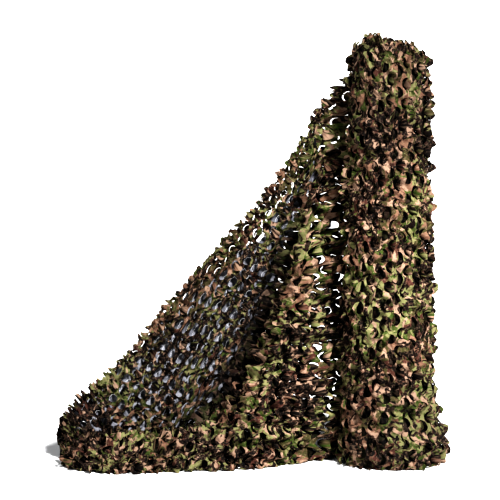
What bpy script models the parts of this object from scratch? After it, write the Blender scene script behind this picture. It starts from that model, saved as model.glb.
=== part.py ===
"""A roll of die-cut camouflage netting that stands on its end, with its loose end drawn off to the left.

Metres, +Z up. The front is -Y. The cloth is 1.5 m wide. Most of it is wound into an upright roll that
slumps and spreads at its foot. The loose end leaves the roll's left side from behind, its upper selvedge
falls in a long slant to the floor, and its lower part bulges forward into a ridge and lies gathered
along the front. The origin is the middle of the joint box of both solids, on the floor.
"""
import functools
import math

import bpy
import numpy as np
from mathutils import Vector
from mathutils.geometry import delaunay_2d_cdt

# Joints between pieces and the sheet itself
CLEARANCE = 0.0003
SHEET_THICKNESS = 0.0026

# Wound part. Each row is a ring: its height, its mean radius, and how far its middle lies to the right.
ROLL_PROFILE = (
    # height, radius, shift
    (0.000, 0.186, 0.012),
    (0.045, 0.196, 0.013),
    (0.100, 0.187, 0.010),
    (0.180, 0.172, 0.004),
    (0.350, 0.165, 0.000),
    (0.600, 0.157, -0.001),
    (0.900, 0.149, -0.002),
    (1.150, 0.142, -0.002),
    (1.380, 0.135, -0.003),
    (1.440, 0.130, -0.003),
)
ROLL_COLUMNS = 30
ROLL_ROWS = 38
LAYER_STEP = 0.008          # the outer turn stands this much proud of the one that it covers
LEAVING_ANGLE = math.radians(150)   # where the outer turn leaves the roll: its left side, from behind
LOBE_HEIGHT = 0.015         # the leaf-like lobes that the slits let stand out
DIMPLE_DEPTH = 0.005
SMOOTH_COLUMNS = 2          # beside the leaving edge the turns lie smooth

# Upper end of the roll: the edges of the turns, in rings from the rim to the middle
END_RINGS = 6
END_DOME = 0.022
END_TURN_PITCH = 0.060
END_TURN_RISE = 0.013
RIM_RAGGED = 0.022

# Loose end. Each row is an upright section: its distance to the left of the roll's axis, then the depth
# and height of the upper selvedge, of the long valley and of the ridge, and the depth of the toe.
SECTIONS = (
    # run, top_y, top_z, valley_y, valley_z, ridge_y, ridge_z, toe_y
    (0.228, 0.060, 1.250, 0.070, 0.950, 0.045, 0.720, 0.010),
    (0.285, 0.060, 1.143, 0.055, 0.910, -0.060, 0.680, -0.050),
    (0.359, 0.065, 1.030, 0.045, 0.735, -0.110, 0.500, -0.100),
    (0.464, 0.070, 0.885, 0.025, 0.455, -0.130, 0.265, -0.150),
    (0.586, 0.070, 0.752, 0.000, 0.235, -0.120, 0.165, -0.180),
    (0.761, 0.065, 0.550, -0.010, 0.090, -0.110, 0.124, -0.210),
    (0.953, 0.050, 0.320, -0.015, 0.080, -0.120, 0.112, -0.230),
    (1.075, 0.025, 0.208, -0.025, 0.070, -0.110, 0.090, -0.190),
    (1.148, -0.020, 0.062, -0.040, 0.040, -0.070, 0.048, -0.105),
)
LEAVING_TOP = 1.385         # heights of the selvedge, valley and ridge lines where they leave the roll
LEAVING_VALLEY = 1.010
LEAVING_RIDGE = 0.770
FACE_SAG = 0.018            # the slanting face hollows back between selvedge and valley
BELLY = 0.022               # the front bulges forward between ridge and toe
TOE_RADIUS = 0.010
HEM_ON_FLOOR = 0.045        # turned under at the toe, flat on the floor
TIP_HEM = 0.018             # at the far tip
HEM_TAPER = 0.120
PROFILE_STEPS = 56
TOE_STEP = 0.055            # between the sheet's points along the toe
TOE_ROWS = (0.0, 0.014, 0.034)   # lengths up from the toe's flat of its rows of points
TIP_STEP = 0.026            # between its points near the far tip
TIP_COLUMNS = (0.68, 0.34)  # shares of the tip's room without gaps at which they stand

# Small creases over the loose end, which wander a little and die out at its edges
CREASE_DEPTH = 0.007
CREASE_PITCH = 0.150
CREASE_SLANT = math.radians(52)
CREASE_WANDER = 0.25        # of a pitch
CREASE_WANDER_RATE = 7.0    # radians for each metre along the crease
CREASE_FADE = 0.06

# Gaps cut through the loose end, in rows along its upper selvedge
GAP_PITCH = 0.054
GAP_LONG = 0.038
GAP_WIDE = 0.027
GAP_CORNERS = 6
GAP_SLANT = math.radians(50)
GAP_EDGE_ROOM = 0.038       # from the middle of a gap to the sheet's edge
GAP_TIP_ROOM = 0.085        # and to the far tip, where the sheet is folded tight
GAP_ROW_START = (0.64, 0.50)     # run and length up of the middle of the first gap
GAP_ROWS = 24               # on either side of it, more than the sheet holds
GAP_TURN = 0.5              # radians by which neighbours differ at most
GAP_SIZES = (0.88, 1.12)
MOST_GAPS = 300

# Ragged edge of the loose end
EDGE_STEP = 0.042
EDGE_POINT = 0.011
EDGE_INSET = 0.012          # the points stand about a line this far below the selvedge's own
EDGE_CORNER = 0.030         # plain stretch where the selvedge meets the roll


def clear_scene():
    for obj in list(bpy.data.objects):
        bpy.data.objects.remove(obj, do_unlink=True)


def make_material(name, colour, roughness):
    material = bpy.data.materials.new(name)
    material.use_nodes = True
    shader = material.node_tree.nodes["Principled BSDF"]
    shader.inputs["Base Color"].default_value = (*colour, 1.0)
    shader.inputs["Roughness"].default_value = roughness
    shader.inputs["Metallic"].default_value = 0.0
    return material


def make_object(name, points, faces, material):
    mesh = bpy.data.meshes.new(name)
    mesh.from_pydata([tuple(p) for p in points], [], faces)
    mesh.validate()
    mesh.update()
    mesh.shade_smooth()
    mesh.set_sharp_from_angle(angle=math.radians(50))
    mesh.materials.append(material)
    obj = bpy.data.objects.new(name, mesh)
    bpy.context.collection.objects.link(obj)
    return obj


def unevenness(*numbers):
    """A fixed value from 0 to 1 for each set of whole numbers, so that repeated shapes differ."""
    phase = sum(n * w for n, w in zip(numbers, (12.9898, 78.233, 37.719)))
    return math.sin(phase) * 43758.5453 % 1.0


def curve_through(knots, rows, at):
    """The smooth curve through the rows at the knots, read at one place or many. It swings past no row."""
    knots = np.asarray(knots, float)
    rows = np.asarray(rows, float)
    gaps = np.diff(knots)[:, None]
    slopes = np.diff(rows, axis=0) / gaps
    eased = np.zeros_like(rows)
    eased[0], eased[-1] = slopes[0], slopes[-1]
    same_way = slopes[:-1] * slopes[1:] > 0
    total = np.where(same_way, slopes[:-1] + slopes[1:], 1.0)
    eased[1:-1] = np.where(same_way, 2 * slopes[:-1] * slopes[1:] / total, 0.0)
    places = np.atleast_1d(at)
    i = np.clip(np.searchsorted(knots, places) - 1, 0, len(gaps) - 1)
    t = ((places - knots[i]) / gaps[i, 0])[:, None]
    from_start = (1 + 2 * t) * (1 - t) ** 2 * rows[i] + t * (1 - t) ** 2 * gaps[i] * eased[i]
    to_end = t * t * (3 - 2 * t) * rows[i + 1] - t * t * (1 - t) * gaps[i] * eased[i + 1]
    return from_start + to_end if np.ndim(at) else (from_start + to_end)[0]


# ---- the wound part


def roll_ring(height):
    heights = [row[0] for row in ROLL_PROFILE]
    return curve_through(heights, [row[1:] for row in ROLL_PROFILE], height)


def roll_point(column, height, relief=0.0):
    """A point of the roll's outer turn. Column 0 lies under the leaving edge, the last one is that edge."""
    radius, shift = roll_ring(height)
    angle = LEAVING_ANGLE + 2 * math.pi * column / ROLL_COLUMNS
    radius += LAYER_STEP * (column / ROLL_COLUMNS - 0.5) + relief
    return np.array((shift + radius * math.cos(angle), radius * math.sin(angle), height))


def roll_heights():
    top = ROLL_PROFILE[-1][0]
    return [top * row / ROLL_ROWS for row in range(ROLL_ROWS + 1)]


def lobe(column, row):
    """Height of the relief at one point: staggered lobes, with dimples between them."""
    if column <= SMOOTH_COLUMNS or column >= ROLL_COLUMNS - SMOOTH_COLUMNS:
        return 0.0
    if row in (0, ROLL_ROWS):
        return 0.0
    if column % 2 == 0 and (row + column // 2) % 2 == 0:
        return LOBE_HEIGHT * (0.5 + 0.5 * unevenness(column, row))
    return -DIMPLE_DEPTH * unevenness(row, column, 3)


def end_height(column, inward):
    """The upper end: its turns' edges stand in a spiral and rise a little towards the middle."""
    out = 1.0 - inward
    radius = ROLL_PROFILE[-1][1] * out
    turn = 2 * math.pi * (radius / END_TURN_PITCH + column / ROLL_COLUMNS)
    ragged = RIM_RAGGED * (unevenness(column, 5) - 0.3) * out
    return END_DOME * (1 - out * out) + END_TURN_RISE * math.cos(turn) * out + ragged


def build_roll(material):
    points, faces = [], []
    heights = roll_heights()
    across = ROLL_COLUMNS + 1
    for row, height in enumerate(heights):
        for column in range(across):
            point = roll_point(column, height, lobe(column, row))
            if row == ROLL_ROWS:
                point[2] += end_height(column, 0.0)
            points.append(point)

    def wall(row, column):
        return row * across + column % across

    for row in range(ROLL_ROWS):
        for column in range(across):
            faces.append((wall(row, column), wall(row, column + 1),
                          wall(row + 1, column + 1), wall(row + 1, column)))

    # The foot is flat, and its face is the mount.
    faces.append(tuple(reversed(range(across))))

    middle = np.array((roll_ring(heights[-1])[1], 0.0, heights[-1]))
    outer = [wall(ROLL_ROWS, column) for column in range(across)]
    for ring in range(1, END_RINGS):
        inward = ring / END_RINGS
        start = len(points)
        for column in range(across):
            rim = roll_point(column, heights[-1])
            point = middle + (rim - middle) * (1 - inward)
            point[2] += end_height(column, inward)
            points.append(point)
        inner = list(range(start, start + across))
        for a in range(across):
            b = (a + 1) % across
            faces.append((outer[a], outer[b], inner[b], inner[a]))
        outer = inner
    points.append(middle + np.array((0.0, 0.0, END_DOME)))
    for a in range(across):
        faces.append((outer[a], outer[(a + 1) % across], len(points) - 1))
    return make_object("net_roll", points, faces, material)


# ---- the loose end


def leaving_point(height):
    """On the roll's leaving line, clear of the turn below by half a sheet and the clearance."""
    radius, shift = roll_ring(height)
    radius += SHEET_THICKNESS / 2 + CLEARANCE - LAYER_STEP / 2
    along = np.array((-math.sin(LEAVING_ANGLE), math.cos(LEAVING_ANGLE), 0.0))
    out = np.array((math.cos(LEAVING_ANGLE), math.sin(LEAVING_ANGLE), 0.0))
    return np.array((shift, 0.0, height)) + out * radius + along * CLEARANCE


def leaving_run():
    return -leaving_point(ROLL_PROFILE[4][0])[0]


def section_rows():
    """Each section's selvedge, valley, ridge and toe as one row of points, from the roll to the tip."""
    first = [leaving_point(z) for z in (LEAVING_TOP, LEAVING_VALLEY, LEAVING_RIDGE, SHEET_THICKNESS / 2)]
    rows = [np.concatenate(first)]
    for run, top_y, top_z, valley_y, valley_z, ridge_y, ridge_z, toe_y in SECTIONS:
        rows.append(np.array((-run, top_y, top_z, -run, valley_y, valley_z,
                              -run, ridge_y, ridge_z, -run, toe_y, SHEET_THICKNESS / 2)))
    return rows


RUNS = [leaving_run()] + [row[0] for row in SECTIONS]
ROWS = section_rows()
LEAVE_FADE = (SECTIONS[0][0] - RUNS[0])


def hem_width(run):
    """The hem on the floor narrows to nothing at the roll's foot, and to a little at the tip."""
    off_roll = np.clip((run - RUNS[0]) / TOE_STEP, 0.0, 1.0)
    off_tip = np.clip((RUNS[-1] - run) / HEM_TAPER, 0.0, 1.0)
    return (TIP_HEM + (HEM_ON_FLOOR - TIP_HEM) * off_tip) * off_roll


@functools.lru_cache(maxsize=None)
def profile(run):
    """The section at one run, from the selvedge down to the toe and back under it along the floor."""
    top, valley, ridge, toe = curve_through(RUNS, ROWS, run).reshape(4, 3)
    off_roll = np.clip((run - RUNS[0]) / LEAVE_FADE, 0.0, 1.0)
    back = np.array((0.0, 1.0, 0.0))
    face = (top + valley) / 2 + back * FACE_SAG * off_roll
    belly = ridge * 0.45 + toe * 0.55 - back * BELLY * off_roll
    heel = toe + np.array((0.0, 0.0, TOE_RADIUS))
    down = [top, face, valley, ridge, belly, heel]
    steps = np.concatenate(([0.0], np.cumsum([np.linalg.norm(b - a) for a, b in zip(down, down[1:])])))
    line = list(curve_through(steps, down, np.linspace(0.0, steps[-1], PROFILE_STEPS)))
    for turn in (math.radians(45), 0.0):
        rise = TOE_RADIUS * (1 - math.cos(turn))
        line.append(toe + back * TOE_RADIUS * (1 - math.sin(turn)) + np.array((0.0, 0.0, rise)))
    line.append(line[-1] + back * (hem_width(run) + 0.02))
    return np.array(line)


def sheet_length(run):
    """Arc lengths of the section: from the toe's flat to the selvedge, and all of it."""
    line = profile(run)
    steps = np.linalg.norm(np.diff(line, axis=0), axis=1)
    return steps[:-1].sum(), steps.sum()


def creases(run, up):
    """Depth of the small creases, which run down from the roll and die out at all edges of the sheet."""
    along = run * math.cos(CREASE_SLANT) + up * math.sin(CREASE_SLANT)
    across = up * math.cos(CREASE_SLANT) - run * math.sin(CREASE_SLANT)
    wander = CREASE_WANDER * math.sin(CREASE_WANDER_RATE * along)
    off_floor = min(max((up - TOE_ROWS[-1]) / CREASE_FADE, 0.0), 1.0)
    off_roll = min(max((run - RUNS[1]) / CREASE_FADE, 0.0), 1.0)
    return CREASE_DEPTH * math.sin(2 * math.pi * (across / CREASE_PITCH + wander)) * off_floor * off_roll


def sheet_point(run, up):
    """A point of the sheet's middle: its run from the roll's axis, and its length up from the toe's flat."""
    line = profile(run)
    steps = np.linalg.norm(np.diff(line, axis=0), axis=1)
    lengths = np.concatenate(([0.0], np.cumsum(steps)))
    at = lengths[-2] - up
    point = np.array([np.interp(at, lengths, line[:, axis]) for axis in range(3)])
    point[1] += creases(run, up)
    free = min((run - RUNS[0]) / LEAVE_FADE, 1.0)
    free = free * free * (3 - 2 * free)
    held = leaving_point(point[2])
    held[:2] += (point[:2] - leaving_point(point[2])[:2]) * free
    return held


def sheet_normal(run, up):
    """The sheet's front side faces the viewer, who stands at -Y, or the floor where it lies under the toe."""
    if run <= RUNS[0]:
        return np.array((-math.cos(LEAVING_ANGLE), -math.sin(LEAVING_ANGLE), 0.0))
    step = 0.004
    run = min(max(run, RUNS[0] + step), RUNS[-1] - step)
    up = min(up, sheet_length(run + step)[0] - step)
    across = sheet_point(run + step, up) - sheet_point(run - step, up)
    upward = sheet_point(run, up + step) - sheet_point(run, up - step)
    normal = np.cross(upward, across)
    return normal / np.linalg.norm(normal)


def toe_runs():
    """Where the toe has its points, from the roll to the tip."""
    count = round((RUNS[-1] - RUNS[0]) / TOE_STEP)
    return [RUNS[0] + (RUNS[-1] - RUNS[0]) * i / count for i in range(count + 1)]


def outline():
    """The sheet's edge in run and length: the hem, the tip, the jagged selvedge, and the leaving line."""
    edge = [(run, -hem_width(run)) for run in toe_runs()]
    tip = sheet_length(RUNS[-1])[0] - EDGE_POINT
    edge += [(RUNS[-1], up) for up in TOE_ROWS + (tip * 0.6,)]
    run, step = RUNS[-1], 0
    while run > RUNS[0] + EDGE_CORNER:
        length = sheet_length(run)[0]
        point = EDGE_POINT * (0.5 + 0.5 * unevenness(step, 7))
        edge.append((run, length - EDGE_INSET + (point if step % 2 else -point)))
        rise = (sheet_length(run - EDGE_POINT)[0] - length) / EDGE_POINT
        run -= EDGE_STEP / math.hypot(1.0, rise)
        step += 1
    for height in reversed(roll_heights()):
        if SHEET_THICKNESS < height < LEAVING_TOP - EDGE_CORNER:
            edge.append((RUNS[0], leaving_length(height)))
    return edge


def leaving_length(height):
    """Length up from the toe's flat of the point at that height on the leaving line."""
    line = profile(RUNS[0])
    steps = np.linalg.norm(np.diff(line, axis=0), axis=1)
    lengths = np.concatenate(([0.0], np.cumsum(steps)))
    from_top = np.interp(-height, -line[:-1, 2], lengths[:-1])
    return lengths[-2] - from_top


def gap_middles():
    """Rows of gap middles along the slant, every second row moved half a pitch."""
    middles = []
    along = np.array((-math.cos(GAP_SLANT), math.sin(GAP_SLANT)))
    across = np.array((math.sin(GAP_SLANT), math.cos(GAP_SLANT)))
    for i in range(-GAP_ROWS, GAP_ROWS + 1):
        for j in range(-GAP_ROWS, GAP_ROWS + 1):
            middle = GAP_ROW_START + along * GAP_PITCH * (i + 0.5 * (j % 2)) + across * GAP_PITCH * j
            run, up = middle
            if not RUNS[0] + GAP_EDGE_ROOM < run < RUNS[-1] - GAP_TIP_ROOM:
                continue
            if GAP_EDGE_ROOM < up < sheet_length(run)[0] - GAP_EDGE_ROOM - EDGE_POINT:
                middles.append((i, j, middle))
    return middles[:MOST_GAPS]


def gap_corners(i, j, middle):
    """One gap: a long six-sided hole that lies along the slant, a little turned and sized by its place."""
    turn = math.pi - GAP_SLANT + GAP_TURN * (unevenness(i, j) - 0.5)
    least, most = GAP_SIZES
    size = least + (most - least) * unevenness(j, i, 2)
    corners = []
    for k in range(GAP_CORNERS):
        angle = 2 * math.pi * k / GAP_CORNERS
        x = size * GAP_LONG / 2 * math.cos(angle)
        y = size * GAP_WIDE / 2 * math.sin(angle)
        corners.append(middle + np.array((x * math.cos(turn) - y * math.sin(turn),
                                          x * math.sin(turn) + y * math.cos(turn))))
    return corners


def toe_points():
    """Rows of points where the sheet turns on to the floor."""
    return [(run, up) for run in toe_runs()[1:-1] for up in TOE_ROWS]


def tip_points():
    """Columns of points in the far tip, where the sheet bends sharply and has no gaps."""
    points = []
    for share in TIP_COLUMNS:
        run = RUNS[-1] - GAP_TIP_ROOM * share
        length = sheet_length(run)[0]
        count = round(length / TIP_STEP)
        rise = (length - TIP_STEP - TOE_ROWS[-1]) / count
        points += [(run, TOE_ROWS[-1] + rise * (k + 1)) for k in range(count)]
    return points


def build_loose_end(material):
    flat = [Vector(p) for p in outline()]
    edge_face = list(range(len(flat)))
    gap_of = {}
    gap_edges = []
    middles = gap_middles()
    for number, (i, j, middle) in enumerate(middles):
        start = len(flat)
        for corner in gap_corners(i, j, middle):
            gap_of[len(flat)] = number
            flat.append(Vector(corner))
        gap_edges += [(start + k, start + (k + 1) % GAP_CORNERS) for k in range(GAP_CORNERS)]
    flat += [Vector(p) for p in toe_points() + tip_points()]
    cut = delaunay_2d_cdt(flat, gap_edges, [edge_face], 1, 1e-6, True)
    placed, _, triangles, point_from, _, face_from = cut
    gap_at = [gap_of.get(came[0]) if came else None for came in point_from]
    kept = []
    for triangle, inside in zip(triangles, face_from):
        gaps = {gap_at[k] for k in triangle}
        in_a_gap = len(gaps) == 1 and None not in gaps
        if inside and not in_a_gap:
            kept.append(triangle)

    half = SHEET_THICKNESS / 2
    front, back = [], []
    for run, up in placed:
        middle = sheet_point(run, up)
        normal = sheet_normal(run, up)
        if up <= 0.0 and run > RUNS[0]:
            normal = np.array((0.0, 0.0, -1.0))
            middle[2] = half
        for side, points in ((half, front), (-half, back)):
            point = middle + normal * side
            point[2] = max(point[2], 0.0)
            points.append(point)
    count = len(placed)
    faces = []
    beside = {}
    for a, b, c in kept:
        faces.append((a, c, b))
        faces.append((a + count, b + count, c + count))
        for edge in ((a, b), (b, c), (c, a)):
            beside[edge] = True
    for a, b in beside:
        if (b, a) not in beside:
            faces.append((a, b, b + count, a + count))
    print("gaps cut:", len(middles), " faces:", len(faces))
    return make_object("net_loose_end", front + back, faces, material)


def stand_on_origin(objects):
    """Moves the solids together, so that the origin is the middle of their box, on the floor."""
    points = np.array([v.co for obj in objects for v in obj.data.vertices])
    low, high = points.min(axis=0), points.max(axis=0)
    shift = Vector((-(low[0] + high[0]) / 2, -(low[1] + high[1]) / 2, 0.0))
    for obj in objects:
        for vertex in obj.data.vertices:
            vertex.co += shift
    print("shift:", tuple(round(v, 5) for v in shift), " size:", tuple((high - low).round(4)))


def main():
    clear_scene()
    roll_cloth = make_material("wound_camouflage_cloth", (0.16, 0.12, 0.06), 0.85)
    loose_cloth = make_material("loose_camouflage_cloth", (0.13, 0.12, 0.05), 0.85)
    roll = build_roll(roll_cloth)
    loose_end = build_loose_end(loose_cloth)
    stand_on_origin([roll, loose_end])


main()
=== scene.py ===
import math

import bpy
import numpy as np
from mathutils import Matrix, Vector
from mathutils.geometry import delaunay_2d_cdt


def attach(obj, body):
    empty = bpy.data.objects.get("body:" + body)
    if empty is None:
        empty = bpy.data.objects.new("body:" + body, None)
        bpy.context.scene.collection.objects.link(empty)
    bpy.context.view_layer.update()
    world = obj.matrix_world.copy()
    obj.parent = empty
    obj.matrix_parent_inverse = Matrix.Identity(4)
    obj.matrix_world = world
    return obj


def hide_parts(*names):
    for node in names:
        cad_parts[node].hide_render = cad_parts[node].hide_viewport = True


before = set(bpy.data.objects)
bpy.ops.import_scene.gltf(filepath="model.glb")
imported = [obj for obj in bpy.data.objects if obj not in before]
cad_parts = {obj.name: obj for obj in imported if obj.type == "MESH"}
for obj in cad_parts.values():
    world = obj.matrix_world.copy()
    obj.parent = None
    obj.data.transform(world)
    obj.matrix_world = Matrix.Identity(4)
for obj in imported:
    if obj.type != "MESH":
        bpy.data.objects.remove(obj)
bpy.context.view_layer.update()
print("frame loaded")

# The cut of the net, in metres on the flat cloth. Every cell holds one S-shaped slit, which frees two
# round tongues: the upper one is free on its left, the lower one on its right.
cut = {
    "across": (0.0650, -0.0185),       # from one slit to the next along the cloth
    "down": (-0.0075, -0.0700),        # and to the next one below
    "lobe": (-0.0142, 0.0225),         # middle of the upper lobe, from the middle of the slit
    "lobeSize": (0.0180, 0.0200),      # half its width and height
    "slitFrom": math.radians(50),      # where the slit starts round the upper lobe
    "slitTo": math.radians(298),       # and where it leaves it for the lower one
    "slitWidth": 0.0026,               # at its widest, beside the tongue's tip
    "crossing": 0.0005,                # half its width in the middle of the S
    "arcPoints": 15,
    "spacing": 0.0064,                 # between the points inside tongues and bridges
    "scatter": 0.0008,                 # they stray this far from their rows
    "clearance": 0.42,                 # and keep this far from the slit, in spacings
    "hinge": 0.0075,                   # the tongue bends over this length, then runs straight
}

# The same cut where the cloth is pulled along its selvedge: its rows lean over and the holes draw in.
pulledCut = dict(
    cut,
    across=(0.0280, -0.0265),
    down=(-0.0520, -0.0655),
    lobe=(0.0060, 0.0230),
    lobeSize=(0.0150, 0.0185),
    slitFrom=math.radians(3),
    slitTo=math.radians(251),
    arcPoints=13,
    spacing=0.0058,
    hinge=0.0055,
)

# And where it lies slack behind the front, with its slits shut.
shutCut = dict(pulledCut, slitWidth=0.0005, crossing=0.0002)

# How every piece of the net bends where it lies. Lengths and heights are in metres.
bending = {
    "room": 0.12,                      # cells are laid this far past the piece's box
    "turnedIn": -0.75,                 # a tongue that turns in bends by this much of its curl
    "lean": 0.35,                      # one end of a hinge bends up to this much more than the other
    "leastBend": 0.05,                 # in radians
    "tongueShape": (0.3, 0.7),         # of the pulled shape and of its own, in a tongue
    "rowSway": 0.8,                    # how much the rows of bridges that stand out snake
    "variation": (0.4, 0.15),          # how much the corrugation varies, and over what length
    "lumps": 0.055,                    # their length
    "dents": (0.6, 0.024),             # their height against the lumps', and their length
    "creases": (0.015, 12),            # their length, and how many waves make them up
    "drift": (0.004, 0.12),            # how far the cloth strays in its own plane, over what length
}

# The wound part, as in the CAD: rings of height, mean radius and shift to the right.
roll = {
    "profile": (
        (0.000, 0.186, 0.012),
        (0.045, 0.196, 0.013),
        (0.100, 0.187, 0.010),
        (0.180, 0.172, 0.004),
        (0.350, 0.165, 0.000),
        (0.600, 0.157, -0.001),
        (0.900, 0.149, -0.002),
        (1.150, 0.142, -0.002),
        (1.380, 0.135, -0.003),
        (1.440, 0.130, -0.003),
    ),
    "axis": (0.46296, 0.01148),        # from the part's origin
    "leaves": math.radians(150),       # where the outer turn leaves the roll
    "turnStep": 0.016,                 # between one turn and the next
    "lapRise": 0.008,                  # how far the outer turn runs out from its start to its end
    "meanRadius": 0.155,               # at which the cut has its true size
    "sunk": 0.004,                     # the outer turn lies this far inside the solid's mean surface
    "swells": (0.004, 0.22),           # their height and length along a turn
    "raggedLength": 0.05,
    "rise": 0.045,                     # the inmost turns stand this much higher than the outer one
    "riseTurns": 3.5,                  # and reach that height this many turns in
    "leftRise": 0.026,                 # the rim stands this much higher on its left
    "leftPart": (0.2, 0.9),            # between these shares of the way from the middle to the left
    "riseFrom": 1.25,                  # all of this starts at this height
    "riseTo": 1.43,
    "floorGap": 0.002,                 # the net's lowest point
    "footShade": (0.30, 0.15, 0.50),   # painted shade: how dark the foot is painted, and between which heights that fades
    # painted shade at the top: how dark, and between which heights it comes in
    "topShade": (0.28, 0.95, 1.20),
}

# The loose end, as in the CAD: upright sections from the roll to the tip.
drape = {
    "sections": (
        # run, top y, top z, valley y, valley z, ridge y, ridge z, toe y
        (0.228, 0.060, 1.250, 0.070, 0.950, 0.045, 0.720, 0.010),
        (0.285, 0.060, 1.143, 0.055, 0.910, -0.060, 0.680, -0.050),
        (0.359, 0.065, 1.030, 0.045, 0.735, -0.110, 0.500, -0.100),
        (0.464, 0.070, 0.885, 0.025, 0.455, -0.130, 0.265, -0.150),
        (0.586, 0.070, 0.752, 0.000, 0.235, -0.120, 0.165, -0.180),
        (0.761, 0.065, 0.550, -0.010, 0.090, -0.110, 0.124, -0.210),
        (0.953, 0.050, 0.320, -0.015, 0.080, -0.120, 0.112, -0.230),
        (1.075, 0.025, 0.208, -0.025, 0.070, -0.110, 0.090, -0.190),
        (1.148, -0.020, 0.062, -0.040, 0.040, -0.070, 0.048, -0.105),
    ),
    "leavingHeights": (1.385, 1.010, 0.770, 0.0013),    # of the same four lines, where they leave the roll
    "leavingGap": 0.0016,
    "startHeight": 0.35,               # the surface starts at the roll's side at this height
    "toeHeight": 0.0013,
    "toeRadius": 0.010,
    "toeTurn": (0.003, 0.010, 0.070),  # how far back it rounds the toe, meets the floor and ends
    "faceSag": 0.018,                  # how far the face hangs back between selvedge and valley
    "belly": 0.022,                    # how far the cloth bulges forward below the ridge
    "bellyPlace": (0.45, 0.55),        # shares of the ridge's place and of the toe's
    "pastEdge": 0.06,                  # how far the surface runs on above the selvedge
    "ups": (-0.05, 1.50),              # the surface's reach, from back under the toe to above any selvedge
    "columns": 140,
    "rows": 150,
    "linePoints": 90,
    # Finer folds that the solid leaves out: their height, their place and their width. The first two are
    # placed by how far they lie above the valley, the third by its distance from the roll's axis.
    "bag": (0.024, 0.040, 0.030),
    "hollow": (0.028, -0.020, 0.034),
    "foldRuns": (0.24, 0.36, 0.75, 1.0),    # where the first two come in and fade, from the roll's axis
    "forward": (0.030, 0.215, 0.040),
    "forwardBelow": (0.22, 0.42),      # where the third fades, up from the toe
    # Where the cloth is pulled it covers less than its flat size. This takes its lengths back to the flat
    # cloth.
    "pullBack": 1.20,
    # Below the valley it lies in loose folds, and the slits keep nearly their own places. This is how far
    # one slit lies from the next ones, to the right and up.
    "loose": ((0.060, -0.008), (-0.014, -0.060)),
    "edgeOut": 0.006,                  # the net runs this far past the selvedge's line
    "ragged": (0.012, 0.045),          # height and length of the raggedness there
    "endGap": 0.004,                   # it stops this far before the tip
    "underEnd": -0.045,                # and this far back under the toe
    "limits": (-0.690, -0.220),        # tips that stand out further to the left and the front draw in
    "drawnIn": 0.7,                    # by this much of what stands out
    "floorGap": 0.0015,
    "filled": 0.62,                    # a layer fills about this share of the strip that it is part of
}

# Painted shade on the loose end, for parts that little light reaches: how dark they are painted, and where
# that starts and ends.
shadows = {
    "valley": (0.74, 0.015, 0.085),    # how dark, how far above the valley's line, how wide
    "valleyRuns": (0.20, 0.40, 0.72, 0.95),
    "tipSide": (0.16, 0.42, 0.62),
    "rearByRoll": (0.80, 0.46, 0.70),
}


def curveThrough(knots, rows, places):
    # a smooth curve through the rows that swings past none of them
    knots = np.asarray(knots, float)
    rows = np.asarray(rows, float)
    gaps = np.diff(knots)[:, None]
    slopes = np.diff(rows, axis=0) / gaps
    eased = np.zeros_like(rows)
    eased[0], eased[-1] = slopes[0], slopes[-1]
    sameWay = slopes[:-1] * slopes[1:] > 0
    total = np.where(sameWay, slopes[:-1] + slopes[1:], 1.0)
    eased[1:-1] = np.where(sameWay, 2 * slopes[:-1] * slopes[1:] / total, 0.0)
    places = np.atleast_1d(places)
    i = np.clip(np.searchsorted(knots, places) - 1, 0, len(gaps) - 1)
    t = ((places - knots[i]) / gaps[i, 0])[:, None]
    fromStart = (1 + 2 * t) * (1 - t) ** 2 * rows[i] + t * (1 - t) ** 2 * gaps[i] * eased[i]
    toEnd = t * t * (3 - 2 * t) * rows[i + 1] - t * t * (1 - t) * gaps[i] * eased[i + 1]
    return fromStart + toEnd


def waves(places, length, seed, count=7):
    # smooth unevenness from about -1 to 1 whose swells are about this long
    rng = np.random.default_rng(seed)
    total = np.zeros(len(places))
    for _ in range(count):
        angle = rng.uniform(0, 2 * math.pi)
        rate = 2 * math.pi / (length * rng.uniform(0.7, 1.5))
        direction = np.array((math.cos(angle), math.sin(angle))) * rate
        total += np.sin(places @ direction + rng.uniform(0, 2 * math.pi))
    return total / math.sqrt(count)


def smoothStep(value, low, high):
    t = np.clip((value - low) / (high - low), 0.0, 1.0)
    return t * t * (3 - 2 * t)


def between(value, start, full, fading, end):
    return smoothStep(value, start, full) * (1 - smoothStep(value, fading, end))


def hump(value, height, middle, width):
    return height * np.exp(-((value - middle) / width) ** 2)


def slitLines(shape):
    # the bridge's side and the tongue's side of the slit's upper half, from its end to where it leaves
    # the lobe
    lobe, size = np.array(shape["lobe"]), np.array(shape["lobeSize"])
    turn = np.linspace(shape["slitFrom"], shape["slitTo"], shape["arcPoints"])
    ray = np.stack((np.cos(turn), np.sin(turn)), axis=1) * size
    share = (turn - turn[0]) / (turn[-1] - turn[0])
    width = shape["slitWidth"] * np.sin(np.pi * np.clip(share, 0, 1) * 0.8) ** 0.7
    inward = ray * (1 - width / np.linalg.norm(ray, axis=1))[:, None]
    return lobe + ray, (lobe + inward)[1:]


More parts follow.
